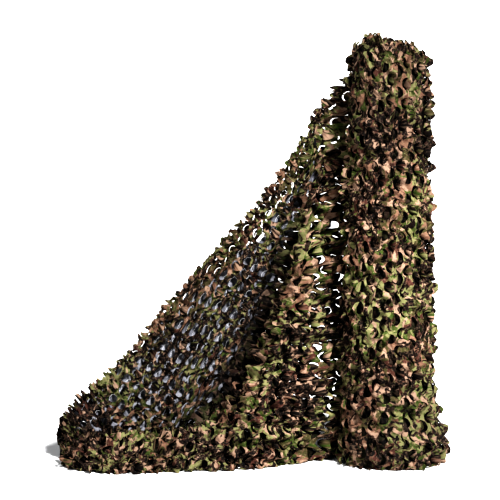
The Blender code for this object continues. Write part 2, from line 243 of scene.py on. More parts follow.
def makeCell(shape):
    # Points of one cell, its triangles as (point, cells across, cells down), and for each point its side
    # (1 or -1 on a tongue, 0 on a bridge), its reach from the tongue's hinge and its place along it.
    outer, inner = slitLines(shape)
    across, down = np.array(shape["across"]), np.array(shape["down"])
    travel = -np.array(shape["lobe"]) / np.linalg.norm(shape["lobe"])
    middle = np.array(((travel[1], -travel[0]), (-travel[1], travel[0]))) * shape["crossing"]
    half = np.concatenate((outer, inner))
    points = np.concatenate((half, middle[:1], -half, middle[1:]))
    slit = len(points)

    # Rows of points fill the cloth round the slit.
    spacing, scatter = shape["spacing"], shape["scatter"]
    columns = round(np.linalg.norm(across) / spacing)
    rows = round(np.linalg.norm(down) / spacing)
    grid = np.array([((i + 0.5 * (j % 2)) / columns, j / rows) for i in range(columns) for j in range(rows)])
    rng = np.random.default_rng(5)
    grid = grid @ np.array((across, down)) + rng.uniform(-scatter, scatter, (len(grid), 2))
    shifts = [i * across + j * down for i in (-1, 0, 1) for j in (-1, 0, 1)]
    near = np.concatenate([points + shift for shift in shifts])
    gap = np.linalg.norm(grid[:, None] - near[None], axis=2).min(axis=1)
    points = np.concatenate((points, grid[gap > spacing * shape["clearance"]]))

    # The slit's outline is a hole in a patch of five cells by five, of which the middle one is kept.
    n, m = len(outer), len(inner)
    other = n + m + 1
    loop = list(range(n)) + [n + m] + [other + n + k for k in reversed(range(m))]
    loop += [other + k for k in range(n)] + [slit - 1] + [n + k for k in reversed(range(m))]
    cells = [(i, j) for i in range(-2, 3) for j in range(-2, 3)]
    patch = np.concatenate([points + i * across + j * down for i, j in cells])
    loops = [[c * len(points) + k for k in loop] for c in range(len(cells))]
    found = delaunay_2d_cdt([Vector(p) for p in patch], [], loops, 0, 1e-6)
    triangles, pointsFrom, inLoops = found[2], found[3], found[5]
    kept = []
    for triangle, inside in zip(triangles, inLoops):
        if inside:
            continue
        corners = [pointsFrom[v][0] for v in triangle]
        named = [(c % len(points), cells[c // len(points)]) for c in corners]
        owner = min(named)[1]
        if owner == (0, 0):
            kept.append([(k, i, j) for k, (i, j) in named])

    # A tongue is what lies inside its lobe, on the free side of its hinge.
    hingeFrom, hingeTo = outer[0], inner[-1]
    along = (hingeTo - hingeFrom) / np.linalg.norm(hingeTo - hingeFrom)
    free = np.array((along[1], -along[0]))
    side = np.zeros(len(points))
    reach = np.zeros(len(points))
    place = np.zeros(len(points))
    for way in (1, -1):
        own = way * points - hingeFrom
        within = np.linalg.norm((way * points - shape["lobe"]) / shape["lobeSize"], axis=1) < 0.98
        on = within & (own @ free > 1e-5)
        side[on] = way
        reach[on] = (own @ free)[on]
        place[on] = (own @ along)[on]
    return {
        "points": points, "triangles": np.array(kept), "side": side, "reach": reach, "place": place,
        "from": hingeFrom, "along": along, "free": free, "length": np.linalg.norm(hingeTo - hingeFrom),
        "steps": np.array((across, down)), "lobe": np.array(shape["lobe"]), "hinge": shape["hinge"],
    }


wholeCell = makeCell(cut)
pulledCell = makeCell(pulledCut)
shutCell = makeCell(shutCut)
print("cells:", len(wholeCell["triangles"]), "and", len(pulledCell["triangles"]), "triangles")


def layCells(cell, low, high, matrix, shift, form):
    # Lays cells over a box of the piece's own plane and bends their tongues. matrix takes the flat cut to
    # that plane. Gives the points' places in the plane, their heights off it, their places on the flat
    # cloth and the triangles.
    seed = form["seed"]
    rng = np.random.default_rng(seed)
    steps = cell["steps"]
    across, down = steps
    corners = np.array([(x, y) for x in (low[0], high[0]) for y in (low[1], high[1])]) - shift
    inCells = corners @ np.linalg.inv(matrix).T @ np.linalg.inv(steps)
    first = np.floor(inCells.min(axis=0)).astype(int) - 2
    last = np.ceil(inCells.max(axis=0)).astype(int) + 2
    i, j = np.meshgrid(np.arange(first[0], last[0] + 1), np.arange(first[1], last[1] + 1), indexing="ij")
    i, j = i.ravel(), j.ravel()
    middles = (i[:, None] * across + j[:, None] * down) @ matrix.T + shift
    room = bending["room"]
    inside = np.all((middles > np.array(low) - room) & (middles < np.array(high) + room), axis=1)
    i, j = i[inside], j[inside]
    count, size = len(i), len(cell["points"])
    number = {pair: k for k, pair in enumerate(zip(i.tolist(), j.tolist()))}

    origins = (i[:, None] * across + j[:, None] * down)[:, None]
    flat = (cell["points"][None] + origins).reshape(-1, 2)
    place, offset = flat.copy(), np.zeros((count * size, 2))
    height = np.zeros(count * size)
    for way in (1, -1):
        # A tongue bends round its hinge and then runs straight.
        on = np.flatnonzero(cell["side"] == way)
        angle = np.radians(rng.uniform(*form["curl"], count))
        angle *= np.where(rng.uniform(0, 1, count) < form["turnedOut"], 1.0, bending["turnedIn"])
        lean = rng.uniform(-bending["lean"], bending["lean"], count)
        share = (cell["place"][on] / cell["length"] - 0.5)[None]
        bend = angle[:, None] * (1 + lean[:, None] * share)
        bend = np.where(np.abs(bend) < bending["leastBend"], bending["leastBend"], bend)
        reach = cell["reach"][on][None]
        over = np.clip(reach, 0, cell["hinge"])
        rest = reach - over
        rate = bend / cell["hinge"]
        outward = np.sin(rate * over) / rate + rest * np.cos(rate * over)
        rise = (1 - np.cos(rate * over)) / rate + rest * np.sin(rate * over)
        root = way * (cell["from"] + cell["along"] * cell["place"][on][:, None])[None]
        index = (np.arange(count)[:, None] * size + on[None]).ravel()
        place[index] = (root + origins).reshape(-1, 2)
        offset[index] = (way * outward[:, :, None] * cell["free"]).reshape(-1, 2)
        height[index] = rise.ravel()

    # Bridges stand out where two lobes face each other and lie back where the tongues hang on.
    inCells = (flat - cell["lobe"] + 0.5 * (across + down)) @ np.linalg.inv(steps)
    wave = 2 * math.pi * inCells[:, 1] + bending["rowSway"] * np.sin(2 * math.pi * inCells[:, 0])
    # The bridges give way where the cloth is pulled, and the free tongues keep most of their shape.
    left, stretch, right = np.linalg.svd(matrix)
    pulledShare, ownShare = bending["tongueShape"]
    kept = pulledShare * matrix + ownShare * math.sqrt(stretch.prod()) * left @ right
    place = place @ matrix.T + offset @ kept.T + shift
    share, length = bending["variation"]
    height += form["corrugation"] * np.cos(wave) * (1 + share * waves(place, length, seed + 6))
    share, length = bending["dents"]
    lumps = waves(place, bending["lumps"], seed + 1) + share * waves(place, length, seed + 2)
    height += form["unevenness"] * lumps
    length, count = bending["creases"]
    height += form["creases"] * waves(place, length, seed + 5, count)
    far, length = bending["drift"]
    place[:, 0] += far * waves(place, length, seed + 3)
    place[:, 1] += far * waves(place, length, seed + 4)

    corners = []
    for k in range(3):
        point, besides, below = cell["triangles"][:, k].T
        columns, rows = i[:, None] + besides[None], j[:, None] + below[None]
        found = [number.get(pair, -1) for pair in zip(columns.ravel().tolist(), rows.ravel().tolist())]
        found = np.array(found)
        corners.append(np.where(found < 0, -1, found * size + np.tile(point, len(i))))
    faces = np.stack(corners, axis=1)
    return place, height, flat, faces[(faces >= 0).all(axis=1)]


def addTips(laid, roots, outward, matrix, shift, seed, tips):
    # Adds pointed scraps that the slits leave along a cut edge. They stand outward from their roots, in
    # the piece's own plane.
    place, height, flat, faces = laid
    rng = np.random.default_rng(seed)
    # share of the scrap's length, or metres back from its root, and share of its width
    rows = ((-0.012, 1.0), (0.35, 1.0), (0.75, 0.75), (1.0, 0.25))
    tipPlaces, tipHeights, tipFaces = [], [], []
    for root, out in zip(roots, outward):
        lean = math.radians(rng.uniform(-tips["lean"], tips["lean"]))
        out = np.array((out[0] * math.cos(lean) - out[1] * math.sin(lean),
                        out[0] * math.sin(lean) + out[1] * math.cos(lean)))
        beside = np.array((out[1], -out[0]))
        long, wide = rng.uniform(*tips["long"]), rng.uniform(*tips["wide"])
        curl = rng.uniform(-1, 1) * tips["curl"]
        for share, width in rows:
            reach = share * long if share > 0 else share
            for hand in (-1, 1):
                tipPlaces.append(root + out * reach + beside * hand * width * wide / 2)
                tipHeights.append(curl * max(share, 0) ** 2 + tips["twist"] * hand * width * curl)
        first = len(place) + len(tipPlaces) - 2 * len(rows)
        for k in range(len(rows) - 1):
            a = first + 2 * k
            tipFaces += [(a, a + 1, a + 3), (a, a + 3, a + 2)]
    tipPlaces = np.array(tipPlaces)
    tipFlat = (tipPlaces - shift) @ np.linalg.inv(matrix).T
    return (np.concatenate((place, tipPlaces)), np.concatenate((height, tipHeights)),
            np.concatenate((flat, tipFlat)), np.concatenate((faces, tipFaces)))


def addPiece(name, points, faces, flat, material, node):
    # flat holds the points' places on the flat cloth, in metres
    mesh = bpy.data.meshes.new(name)
    mesh.from_pydata(points.tolist(), [], faces)
    layer = mesh.uv_layers.new(name="cloth")
    loops = np.empty(len(mesh.loops), dtype=np.int64)
    mesh.loops.foreach_get("vertex_index", loops)
    layer.data.foreach_set("uv", flat[loops].astype(np.float32).ravel())
    mesh.shade_smooth()
    mesh.materials.append(material)
    mesh.update()
    piece = bpy.data.objects.new(name, mesh)
    bpy.context.collection.objects.link(piece)
    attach(piece, "root")
    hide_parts(node)
    return piece


def makeSheet(name, points, flat, faces, paintedShade, material, node):
    # Only the points that triangles use are kept. Gives the piece and its cloth's flat area.
    used = np.unique(faces)
    renumber = np.full(len(points), -1)
    renumber[used] = np.arange(len(used))
    faces, flat = renumber[faces], flat[used]
    piece = addPiece(name, points[used], faces.tolist(), flat, material, node)
    # The painted shade goes on every point as an attribute, which the print reads.
    shade = piece.data.attributes.new("paintedShade", "FLOAT", "POINT")
    shade.data.foreach_set("value", paintedShade[used].astype(np.float32))
    a, b, c = flat[faces[:, 0]], flat[faces[:, 1]], flat[faces[:, 2]]
    area = float(np.abs(np.cross(b - a, c - a)).sum() / 2)
    print(name, len(faces), "triangles,", round(area, 3), "square metres")
    return piece, area


class Number:
    # a shader value that can be worked with as a number
    def __init__(self, nodes, socket):
        self.nodes = nodes
        self.socket = socket

    def join(self, operation, *others):
        node = self.nodes.tree.nodes.new("ShaderNodeMath")
        node.operation = operation
        for place, value in enumerate(others):
            self.nodes.feed(node.inputs[place], value)
        return Number(self.nodes, node.outputs[0])

    def __add__(self, other):
        return self.join("ADD", self, other)

    __radd__ = __add__

    def __sub__(self, other):
        return self.join("SUBTRACT", self, other)

    def __rsub__(self, other):
        return self.join("SUBTRACT", other, self)

    def __mul__(self, other):
        return self.join("MULTIPLY", self, other)

    __rmul__ = __mul__

    def over(self, low, high):
        # 0 below low, 1 above high
        node = self.nodes.add("ShaderNodeMapRange", {"interpolation_type": "SMOOTHSTEP"},
                              {"Value": self, "From Min": low, "From Max": high})
        return Number(self.nodes, node.outputs["Result"])


class Nodes:
    def __init__(self, name):
        self.material = bpy.data.materials.new(name)
        self.material.use_nodes = True
        self.tree = self.material.node_tree
        self.shader = self.tree.nodes["Principled BSDF"]

    def feed(self, socket, value):
        if isinstance(value, Number):
            value = value.socket
        if isinstance(value, bpy.types.NodeSocket):
            self.tree.links.new(value, socket)
        else:
            socket.default_value = value

    def add(self, kind, settings=None, sockets=None):
        node = self.tree.nodes.new(kind)
        for key, value in (settings or {}).items():
            setattr(node, key, value)
        for key, value in (sockets or {}).items():
            self.feed(node.inputs[key], value)
        return node

    def noise(self, place, scale, detail, roughness=0.5, distortion=0.0):
        node = self.add("ShaderNodeTexNoise", {"noise_dimensions": "2D"}, {
            "Vector": place, "Scale": scale, "Detail": detail, "Roughness": roughness,
            "Distortion": distortion})
        return Number(self, node.outputs[0])

    def moved(self, place, by):
        node = self.add("ShaderNodeVectorMath", {"operation": "ADD"}, {0: place, 1: by})
        return node.outputs[0]

    def mix(self, share, below, above):
        node = self.add("ShaderNodeMix", {"data_type": "RGBA"})
        self.feed(node.inputs[0], share)
        self.feed(node.inputs[6], below)
        self.feed(node.inputs[7], above)
        return node.outputs[2]


# The print: soft patches of a few colours, like those of any camouflage cloth, with flecks over them. Its
# small dark spots are partly painted shade.
printed = {
    "blotch": 0.054,                   # size of a patch on the flat cloth
    "edge": 0.03,                      # softness of its edge
    "zone": 0.24,                      # one large patch leans to brown or to green
    "zoneShare": 0.80,                 # by this much
    # From the lowest to the highest: colour, place in the noise, fineness, start (lower for more of it)
    # and the zone that it leans to.
    "patches": (
        ("tan", 3.1, 0.8, 0.495, None),
        ("green", 7.7, 1.0, 0.49, "green"),
        ("red brown", 12.3, 1.1, 0.555, "brown"),
        ("dark", 17.9, 1.3, 0.55, "brown"),
        ("light green", 23.5, 1.8, 0.565, "green"),
        ("sand", 29.3, 1.5, 0.58, None),
    ),
    "printAndShadeSpotsFrom": 0.555,                 # lower for more of the small dark patches, which are partly painted shade
    "fleck": 120,
    "flecks": (0.50, 0.68, 0.32),      # from where to where they come in, and how strong they are
    "specks": (0.54, 0.66, 0.45),
    "weave": 900,
    "weaveDark": 0.35,
    "roughness": (0.74, 0.20),         # at its least, and how much the weave adds
    "bump": (0.35, 0.0012),            # strength and height
    "gloss": 0.12,
    "colours": {
        "olive": (0.088, 0.080, 0.034),
        "tan": (0.250, 0.148, 0.101),
        "green": (0.066, 0.100, 0.022),
        "light green": (0.240, 0.243, 0.114),
        "sand": (0.420, 0.290, 0.214),
        "red brown": (0.105, 0.046, 0.034),
        "dark": (0.008, 0.006, 0.005),
        "light": (0.430, 0.300, 0.208),
    },
}


def makePrint(name, settings, dim):
    nodes = Nodes(name)
    place = nodes.add("ShaderNodeUVMap", {"uv_map": "cloth"}).outputs[0]
    # Every colour is scaled by the copy's brightness factor dim, which is painted light and shade.
    shade = {key: (*(dim * part for part in value), 1.0) for key, value in settings["colours"].items()}
    coarse, share = 1 / settings["zone"], settings["zoneShare"]
    zones = {
        "brown": (nodes.noise(nodes.moved(place, (31.0, 5.0, 0)), coarse, 1.0) - 0.5) * share,
        "green": (nodes.noise(nodes.moved(place, (2.0, 47.0, 0)), coarse, 1.0) - 0.5) * share,
        None: 0.0,
    }

    def patches(seed, fineness, start, lift):
        scale = fineness / settings["blotch"]
        field = nodes.noise(nodes.moved(place, (seed, seed * 1.7, 0)), scale, 2.0, 0.45, 0.5)
        return (field + lift).over(start, start + settings["edge"])

    paint = shade["olive"]
    for colour, seed, fineness, start, zone in settings["patches"]:
        paint = nodes.mix(patches(seed, fineness, start, zones[zone]), paint, shade[colour])
    # Small dark patches: partly the print's own, partly painted shade standing in for the shadows between
    # the chips.
    printAndShadeSpots = patches(37.1, 2.3, settings["printAndShadeSpotsFrom"], zones["brown"] * 0.5)
    paint = nodes.mix(printAndShadeSpots, paint, shade["dark"])
    fleck = nodes.noise(place, settings["fleck"], 2.0, 0.6)
    low, high, strength = settings["flecks"]
    paint = nodes.mix(fleck.over(low, high) * strength, paint, shade["light"])
    speck = nodes.noise(nodes.moved(place, (4.0, 9.0, 0)), settings["fleck"] * 0.9, 3.0, 0.6)
    low, high, strength = settings["specks"]
    paint = nodes.mix(speck.over(low, high) * strength, paint, shade["red brown"])
    weave = nodes.noise(place, settings["weave"], 2.0, 0.6)
    paint = nodes.mix(weave * settings["weaveDark"], paint, shade["dark"])
    # Painted shade: the cloth is painted darker where little light reaches it, in the valley and at the
    # roll's ends.
    paintedShade = nodes.add("ShaderNodeAttribute", {"attribute_name": "paintedShade"}).outputs["Fac"]
    paint = nodes.mix(paintedShade, paint, shade["dark"])
    nodes.feed(nodes.shader.inputs["Base Color"], paint)
    least, more = settings["roughness"]
    nodes.feed(nodes.shader.inputs["Roughness"], least + more * weave)
    strength, height = settings["bump"]
    bump = nodes.add("ShaderNodeBump", None, {
        "Strength": strength, "Distance": height, "Height": weave + fleck * 2.0})
    nodes.feed(nodes.shader.inputs["Normal"], bump.outputs[0])
    nodes.shader.inputs["Specular IOR Level"].default_value = settings["gloss"]
    return nodes.material


# Lit and shaded copies of one print: each is dimmed by its own factor, which is painted light and shade. The
# face and the loose layers are painted darker than the roll, and get more of the small dark spots.
rollCloth = makePrint("printed_cloth_roll", printed, 0.64)
looseCloth = makePrint("printed_cloth_loose", dict(printed, printAndShadeSpotsFrom=0.54), 0.53)
faceCloth = makePrint("printed_cloth_face", dict(printed, printAndShadeSpotsFrom=0.52), 0.45)
# A plain grey-blue copy of the print, only faintly patterned, for the rear layer: painted shade that stands
# in for the shaded background seen through the holes.
backgroundShadeColours = dict(printed, printAndShadeSpotsFrom=0.70, colours={
    "olive": (0.236, 0.238, 0.262),
    "tan": (0.256, 0.258, 0.284),
    "green": (0.222, 0.224, 0.246),
    "light green": (0.280, 0.282, 0.310),
    "sand": (0.280, 0.282, 0.310),
    "red brown": (0.205, 0.206, 0.228),
    "dark": (0.170, 0.170, 0.190),
    "light": (0.280, 0.282, 0.310),
})
backgroundShadeCloth = makePrint("cloth_painted_background_shade", backgroundShadeColours, 0.54)
# Near-black copies: painted shade for the inner turns, the layer under the valley and the core, which little
# light reaches.
innerShadeCloth = makePrint("printed_cloth_inner_painted_shade", printed, 0.08)
coreShadeCloth = makePrint("printed_cloth_core_painted_shade", printed, 0.07)
backCloth = makePrint("printed_cloth_back", printed, 0.50)
print("cloth ready")


def rollRings(height):
    # the roll's mean radius and its shift to the right at each height
    profile = np.array(roll["profile"])
    return curveThrough(profile[:, 0], profile[:, 1:], height)


def rollPoints(turn, height, proud):
    # turn is counted in turns from the inner end of the outermost one, which leaves the roll at turn 1
    rings = rollRings(np.clip(height, 0, roll["profile"][-1][0]))
    lap = roll["lapRise"] * (np.clip(turn, 0, 1) - 0.5)
    radius = rings[:, 0] + roll["turnStep"] * np.minimum(turn, 0) + lap
    radius = radius - roll["sunk"] + proud
    angle = roll["leaves"] + 2 * math.pi * turn
    x = roll["axis"][0] + rings[:, 1] + radius * np.cos(angle)
    y = roll["axis"][1] + radius * np.sin(angle)
    return np.stack((x, y, height), axis=1)


def rimRoots(low, high, top, seed, tips):
    # where scraps stand along the rim, all pointing up
    along = np.arange(low + tips["margin"], high - tips["margin"], tips["apart"])
    scatter = np.random.default_rng(seed).uniform(-tips["scatter"], tips["scatter"], len(along))
    along = along + scatter * tips["apart"]
    roots = np.stack((along, np.full(len(along), top - tips["inset"])), axis=1)
    return roots, np.tile((0.0, 1.0), (len(roots), 1))


def woundNet(name, wound, material):
    seed, ragged = wound["seed"], wound["ragged"]
    around = 2 * math.pi * wound["radius"]
    firstTurn, lastTurn = wound["turns"]
    bottom, top = wound["heights"]
    low, high = (firstTurn * around, bottom), (lastTurn * around, top + ragged)
    matrix, shift = np.eye(2), np.zeros(2)
    place, proud, flat, faces = layCells(wholeCell, low, high, matrix, shift, wound)
    edge = top + ragged * waves(place * (1, 0), roll["raggedLength"], seed + 9)
    middle = place[faces].mean(axis=1)
    inside = (middle[:, 0] > low[0]) & (middle[:, 0] < high[0]) & (middle[:, 1] > bottom)
    inside &= middle[:, 1] < edge[faces].mean(axis=1)
    height, length = roll["swells"]
    proud = proud + height * waves(place, length, seed + 7)
    laid = place, proud, flat, faces[inside]
    roots, outward = rimRoots(low[0], high[0], top, seed, rimTips)
    place, proud, flat, faces = addTips(laid, roots, outward, matrix, shift, seed, rimTips)

    turn = place[:, 0] / around
    points = rollPoints(turn, place[:, 1], proud)
    # Towards the top the inner turns stand higher than the outer one, and all stand higher on the left.
    leftward = smoothStep(-np.cos(roll["leaves"] + 2 * math.pi * turn), *roll["leftPart"])
    rise = roll["rise"] * smoothStep(-turn, 0.0, roll["riseTurns"]) + roll["leftRise"] * leftward
    points[:, 2] += rise * smoothStep(points[:, 2], roll["riseFrom"], roll["riseTo"])
    points[:, 2] = np.maximum(points[:, 2], roll["floorGap"])
    # Painted shade: darker at the foot and at the top of the roll.
    foot, footFrom, footTo = roll["footShade"]
    upper, upperFrom, upperTo = roll["topShade"]
    paintedShade = foot * (1 - smoothStep(points[:, 2], footFrom, footTo))
    paintedShade = paintedShade + upper * smoothStep(points[:, 2], upperFrom, upperTo)
    piece, area = makeSheet(name, points, flat, faces, paintedShade, material, "net_roll")
    width, length = top - bottom + ragged, (lastTurn - firstTurn) * around


rimTips = {
    "apart": 0.035,
    "scatter": 0.3,                    # how far one strays along the rim, as a share of that
    "margin": 0.02,                    # none stands nearer than this to the turn's start
    "inset": 0.006,                    # their roots lie this far below the rim
    "long": (0.008, 0.020),
    "wide": (0.018, 0.030),
    "lean": 35,                        # in degrees, to either side
    "curl": 0.014,
    "twist": 0.2,
}
# Curls are in degrees, and the ripples' heights in metres.
outerTurn = {
    "turns": (0.0, 1.0), "heights": (0.002, 1.440), "ragged": 0.010, "radius": roll["meanRadius"],
    "seed": 11, "curl": (65, 118), "turnedOut": 0.5, "corrugation": 0.005, "unevenness": 0.004,
    "creases": 0.0008,
}
innerTurns = dict(outerTurn, turns=(-1.0, 0.0), heights=(0.002, 1.430), ragged=0.012, seed=12,
                  curl=(20, 70), corrugation=0.003, unevenness=0.003, creases=0.001)
topTurns = dict(outerTurn, turns=(-5.0, -1.0), heights=(1.330, 1.430), ragged=0.012, radius=0.080, seed=13)
woundNet("net_outer_turn", outerTurn, rollCloth)
# The inner turns wear a near-black copy of the print: painted shade.
woundNet("net_inner_turns", innerTurns, innerShadeCloth)
woundNet("net_top_turns", topTurns, rollCloth)

core = {
    "columns": 48,
    "rows": 60,
    "belowRim": 0.07,
    "turn": -2.2,                      # it is as wide as the roll is at this turn
    "lumps": (0.004, 0.07),            # their height and length
    "lumpsFrom": -1.6,                 # the turn at which they start
    "seed": 31,
}


def makeCore():
    # the turns that lie too deep to be seen apart, as one padded piece
    columns, rows = core["columns"], core["rows"]
    top = roll["profile"][-1][0] - core["belowRim"]
    lumpHeight, lumpLength = core["lumps"]
    around = np.arange(columns) / columns
    angles = 2 * math.pi * np.arange(columns) / columns
    lumpsAlong = 2 * math.pi * (core["lumpsFrom"] + around) * roll["meanRadius"]
    points, flat = [], []
    for row in range(rows + 1):
        height = top * row / rows
        level = np.full(columns, height)
        middle = np.array((*roll["axis"], height))
        side = rollPoints(np.full(1, core["turn"]), level[:1], 0.0)[0]
        lumps = lumpHeight * waves(np.stack((lumpsAlong, level), axis=1), lumpLength, core["seed"])
        radius = np.linalg.norm(side - middle) + lumps
        x, y = middle[0] + radius * np.cos(angles), middle[1] + radius * np.sin(angles)
        points.append(np.stack((x, y, level + roll["floorGap"]), axis=1))
        flat.append(np.stack((around, level + roll["floorGap"]), axis=1))
    points, flat = np.concatenate(points), np.concatenate(flat)
    faces = []
    for row in range(rows):
        for column in range(columns):
            a, b = row * columns + column, row * columns + (column + 1) % columns
            faces.append((a, b, b + columns, a + columns))
    faces.append(tuple(range(columns))[::-1])
    faces.append(tuple(range(rows * columns, (rows + 1) * columns)))
    # It wears a near-black copy of the print: painted shade for the turns that little light reaches.
    piece = addPiece("net_wound_core", points, faces, flat, coreShadeCloth, "net_roll")
    print("net_wound_core", len(faces), "faces")


makeCore()


def leavingLine(height):
    # where the loose end leaves the roll, measured from the roll's axis
    rings = rollRings(height)
    radius = rings[:, 0] + drape["leavingGap"] - roll["sunk"]
    out = np.array((math.cos(roll["leaves"]), math.sin(roll["leaves"])))
    return np.stack((rings[:, 1] + out[0] * radius, out[1] * radius, np.atleast_1d(height)), axis=1)


def sectionLine(top, valley, ridge, toe, off):
    # the sheet's middle line from above the selvedge down to under the toe, and the valley's share of it;
    # off is 0 at the roll and 1 clear of it
    back = np.array((0.0, 1.0, 0.0))
    face = (top + valley) / 2 + back * drape["faceSag"] * off
    ridgeShare, toeShare = drape["bellyPlace"]
    belly = ridge * ridgeShare + toe * toeShare - back * drape["belly"] * off
    heel = toe + np.array((0, 0, drape["toeRadius"]))
    down = [top, face, valley, ridge, belly, heel]
    steps = np.concatenate(([0.0], np.cumsum([np.linalg.norm(b - a) for a, b in zip(down, down[1:])])))
    line = curveThrough(steps, down, np.linspace(0.0, steps[-1], drape["linePoints"]))
    beyond = line[0] + (line[0] - line[2]) * (drape["pastEdge"] / np.linalg.norm(line[0] - line[2]))
    lift, under, end = drape["toeTurn"]
    turned = [toe + back * lift + (0, 0, lift), toe + back * under, toe + back * end]
    return np.concatenate(([beyond], line, turned)), 1 - steps[2] / steps[-1]


def drapeGrid():
    # the sheet's middle surface as a grid over run and length up from the toe
    columns, rows = drape["columns"], drape["rows"]
    firstRun = -leavingLine(drape["startHeight"])[0, 0]
    table = [np.concatenate([leavingLine(height)[0] for height in drape["leavingHeights"]])]
    for run, topY, topZ, valleyY, valleyZ, ridgeY, ridgeZ, toeY in drape["sections"]:
        table.append(np.array((-run, topY, topZ, -run, valleyY, valleyZ,
                               -run, ridgeY, ridgeZ, -run, toeY, drape["toeHeight"])))
    runs = np.concatenate(([firstRun], np.array(drape["sections"])[:, 0]))
    places = np.linspace(runs[0], runs[-1], columns)
    sampled = curveThrough(runs, table, places).reshape(columns, 4, 3)
    ups = np.linspace(*drape["ups"], rows)
    grid = np.zeros((columns, rows, 3))
    lengths = np.zeros(columns)
    valleys = np.zeros(columns)
    for k, run in enumerate(places):
        line, valleys[k] = sectionLine(*sampled[k], min((run - runs[0]) / (runs[1] - runs[0]), 1.0))
        arc = np.concatenate(([0.0], np.cumsum(np.linalg.norm(np.diff(line, axis=0), axis=1))))
        lengths[k] = arc[-2] - arc[1]
        for axis in range(3):
            grid[k, :, axis] = np.interp(arc[-2] - ups, arc, line[:, axis])
        # Beside the roll it lies on the roll's own side.
        free = smoothStep(np.array([run]), runs[0], runs[1])[0]
        held = leavingLine(np.clip(grid[k, :, 2], 0, roll["profile"][-1][0]))
        grid[k, :, :2] = held[:, :2] + (grid[k, :, :2] - held[:, :2]) * free
    return {"runs": places, "ups": ups, "grid": grid, "lengths": lengths, "valleys": valleys * lengths}


surface = drapeGrid()


def onSurface(run, up):
    # points and front normals of the loose end's surface
    runs, ups, grid = surface["runs"], surface["ups"], surface["grid"]
    x = np.clip((run - runs[0]) / (runs[1] - runs[0]), 0, len(runs) - 1.001)
    y = np.clip((up - ups[0]) / (ups[1] - ups[0]), 0, len(ups) - 1.001)
    i, j = x.astype(int), y.astype(int)
    s, t = (x - i)[:, None], (y - j)[:, None]
    p00, p10, p01, p11 = grid[i, j], grid[i + 1, j], grid[i, j + 1], grid[i + 1, j + 1]
    point = (p00 * (1 - s) + p10 * s) * (1 - t) + (p01 * (1 - s) + p11 * s) * t
    acrossIt = (p10 - p00) * (1 - t) + (p11 - p01) * t
    upIt = (p01 - p00) * (1 - s) + (p11 - p10) * s
    normal = np.cross(upIt, acrossIt)
    size = np.linalg.norm(normal, axis=1, keepdims=True)
    return point, normal / np.maximum(size, 1e-9)


def valleyUp(run):
    return np.interp(run, surface["runs"], surface["valleys"])


def valleyFold(run, up):
    # Above the valley the cloth bags out, below it it falls back, and low beside the roll it comes forward.
    off = up - valleyUp(run)
    folds = (hump(off, *drape["bag"]) - hump(off, *drape["hollow"])) * between(run, *drape["foldRuns"])
    return folds + hump(run, *drape["forward"]) * (1 - smoothStep(up, *drape["forwardBelow"]))


def paintedShadeShare(run, up, rear):
    # Painted shade: darker in the valley and towards the tip, and on the rear layer beside the roll.
    paintedShade = hump(up - valleyUp(run), *shadows["valley"]) * between(run, *shadows["valleyRuns"])
    dark, start, end = shadows["tipSide"]
    paintedShade = np.maximum(paintedShade, dark * smoothStep(run, start, end))
    if rear:
        dark, start, end = shadows["rearByRoll"]
        paintedShade = np.maximum(paintedShade, dark * (1 - smoothStep(run, start, end)))
    return paintedShade


def selvedgeRoots(seed, tips):
    # where scraps stand along the selvedge, and which way each points
    runs, lengths = surface["runs"], surface["lengths"]
    arc = np.concatenate(([0.0], np.cumsum(np.hypot(np.diff(runs), np.diff(lengths)))))
    at = np.arange(tips["margin"], arc[-1], tips["apart"])
    scatter = np.random.default_rng(seed).uniform(-tips["scatter"], tips["scatter"], len(at))
    at = at + scatter * tips["apart"]
    run, up = np.interp(at, arc, runs), np.interp(at, arc, lengths)
    ahead = at + tips["ahead"]
    outward = np.stack((np.interp(ahead, arc, lengths) - up, np.interp(ahead, arc, runs) - run), axis=1)
    outward /= np.linalg.norm(outward, axis=1, keepdims=True)
    return np.stack((-run, up - tips["inset"]), axis=1), outward


def looseNet(name, layer, material, region, tips=None):
    cell, seed, shift = layer["cell"], layer["seed"], np.array(layer["shift"])
    pulled = cell is not wholeCell
    loosely = np.array(drape["loose"]).T @ np.linalg.inv(wholeCell["steps"].T)
    matrix = np.eye(2) if pulled else loosely
    runs, lengths = surface["runs"], surface["lengths"]
    low, high = (-runs[-1], surface["ups"][0]), (-runs[0], lengths.max())
    place, proud, flat, faces = layCells(cell, low, high, matrix, shift, layer)
    length = np.interp(-place[:, 0], runs, lengths)
    raggedHeight, raggedLength = drape["ragged"]
    edge = length + drape["edgeOut"] + raggedHeight * waves(place, raggedLength, seed + 9)
    middle = place[faces].mean(axis=1)
    run, up = -middle[:, 0], middle[:, 1]
    inside = (run > runs[0]) & (run < runs[-1] - drape["endGap"])
    inside &= (up > drape["underEnd"]) & (up < edge[faces].mean(axis=1))
    inside &= region(run, up, length[faces].mean(axis=1))
    laid = place, proud, flat, faces[inside]
    if tips:
        roots, outward = selvedgeRoots(seed, tips)
        laid = addTips(laid, roots, outward, matrix, shift, seed, tips)
    place, proud, flat, faces = laid
    if pulled:
        flat = flat * drape["pullBack"]

    run, up = -place[:, 0], place[:, 1]
    point, normal = onSurface(run, up)
    point = point + normal * (proud + valleyFold(run, up) - layer["depth"])[:, None]
    point[:, :2] += roll["axis"]
    # The tips draw in where they would stand far outside the solid.
    for axis, limit in enumerate(drape["limits"]):
        point[:, axis] += drape["drawnIn"] * np.maximum(limit - point[:, axis], 0)
    point[:, 2] = np.maximum(point[:, 2], drape["floorGap"])
    paintedShade = paintedShadeShare(run, up, cell is shutCell)
    piece, area = makeSheet(name, point, flat, faces, paintedShade, material, "net_loose_end")
    width = layer["width"]
    area / (width * drape["filled"])


